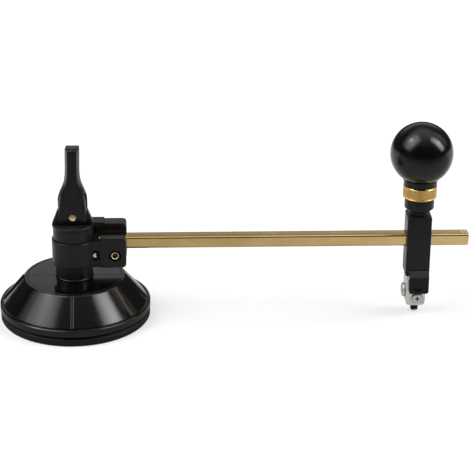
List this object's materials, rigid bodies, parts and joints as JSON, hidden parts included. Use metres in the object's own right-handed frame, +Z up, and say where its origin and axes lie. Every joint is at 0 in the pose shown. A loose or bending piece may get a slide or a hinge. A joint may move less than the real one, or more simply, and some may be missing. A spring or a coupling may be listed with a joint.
{
  "type": "circle glass cutter",
  "caption": "Suction cup compass glass cutter: cam lever cup, swivel clamp, graduated square bar and sliding cutting head with ball knob and wheel.",
  "frame": {"origin": "centre of the suction cup's flat underside on the glass, which is the centre of the cut circle", "axes": "+X along the graduated bar towards the cutting head, +Z up along the pivot post, +Y away from the side with the screw heads"},
  "size_m": [0.2498, 0.0802, 0.1073],
  "materials": {
    "rubber": "matt black rubber",
    "black_plastic": "satin black moulded plastic",
    "gloss_black": "polished black",
    "black_metal": "black painted die casting",
    "brass": "drawn, lightly polished",
    "steel": "plain bright steel"
  },
  "bodies": {
    "base": {"suction_cup": "rubber", "base_shell": "black_plastic", "pivot_post": "black_metal", "post_nut": "steel", "post_cap": "black_metal", "return_spring": "steel"},
    "stem": {"cup_stem": "steel", "stem_anchor": "steel", "spring_washer": "steel"},
    "lever": {"cam_lever": "black_plastic", "lever_pin": "brass"},
    "arm": {"swivel_collar": "black_metal", "collar_bush": "brass", "clamp_nut": "steel", "collar_set_screw": "steel"},
    "clamp_screw": {"clamp_screw": "brass"},
    "bar": {"graduated_bar": "brass"},
    "head": {"head_block": "black_metal", "lower_ferrule": "black_metal", "foot_plate": "black_metal", "plate_screw": "steel", "wheel_carrier": "steel", "carrier_front_screw": "steel", "carrier_side_screw": "steel", "wheel_holder": "black_metal", "wheel_axle": "steel"},
    "shoe": {"clamp_shoe": "brass"},
    "knob": {"knob_ball": "gloss_black", "knob_insert": "brass", "neck_collar": "black_metal", "knob_spindle": "steel"},
    "lock_nut": {"lock_nut": "brass"},
    "wheel": {"cutting_wheel": "steel"}
  },
  "joints": [
    {"name": "stem_lift", "type": "slide", "parent": "base", "child": "stem", "axis": [0, 0, 1], "range_m": [0, 0.0024], "deforming": ["suction_cup", "return_spring"]},
    {"name": "lever_flip", "type": "hinge", "parent": "stem", "child": "lever", "pos_m": [0, 0, 0.057], "axis": [0, -1, 0], "range_deg": [0, 90]},
    {"name": "arm_swivel", "type": "hinge", "parent": "base", "child": "arm", "pos_m": [0, 0, 0.038], "axis": [0, 0, 1], "continuous": true},
    {"name": "clamp_screw_turn", "type": "hinge", "parent": "arm", "child": "clamp_screw", "pos_m": [0.022, 0, 0.03725], "axis": [0, 1, 0], "range_deg": [-180, 0]},
    {"name": "bar_slide", "type": "slide", "parent": "arm", "child": "bar", "axis": [1, 0, 0], "range_m": [0, 0.006]},
    {"name": "head_slide", "type": "slide", "parent": "bar", "child": "head", "axis": [1, 0, 0], "range_m": [-0.134, 0.016]},
    {"name": "knob_rise", "type": "slide", "parent": "head", "child": "shoe", "axis": [0, 0, 1], "range_m": [0, 0.003]},
    {"name": "knob_turn", "type": "hinge", "parent": "shoe", "child": "knob", "pos_m": [0.1828, 0, 0.0768], "axis": [0, 0, 1], "range_deg": [0, 1080]},
    {"name": "lock_nut_turn", "type": "hinge", "parent": "head", "child": "lock_nut", "pos_m": [0.1828, 0, 0.0698], "axis": [0, 0, 1], "continuous": true},
    {"name": "wheel_spin", "type": "hinge", "parent": "head", "child": "wheel", "pos_m": [0.1828, 0, 0.002], "axis": [1, 0, 0], "continuous": true}
  ],
  "couplings": [
    {"joint": "lever_flip", "follows": "stem_lift", "rad_per_m": 654.43},
    {"joint": "knob_turn", "follows": "knob_rise", "rad_per_m": 6282.6}
  ]
}
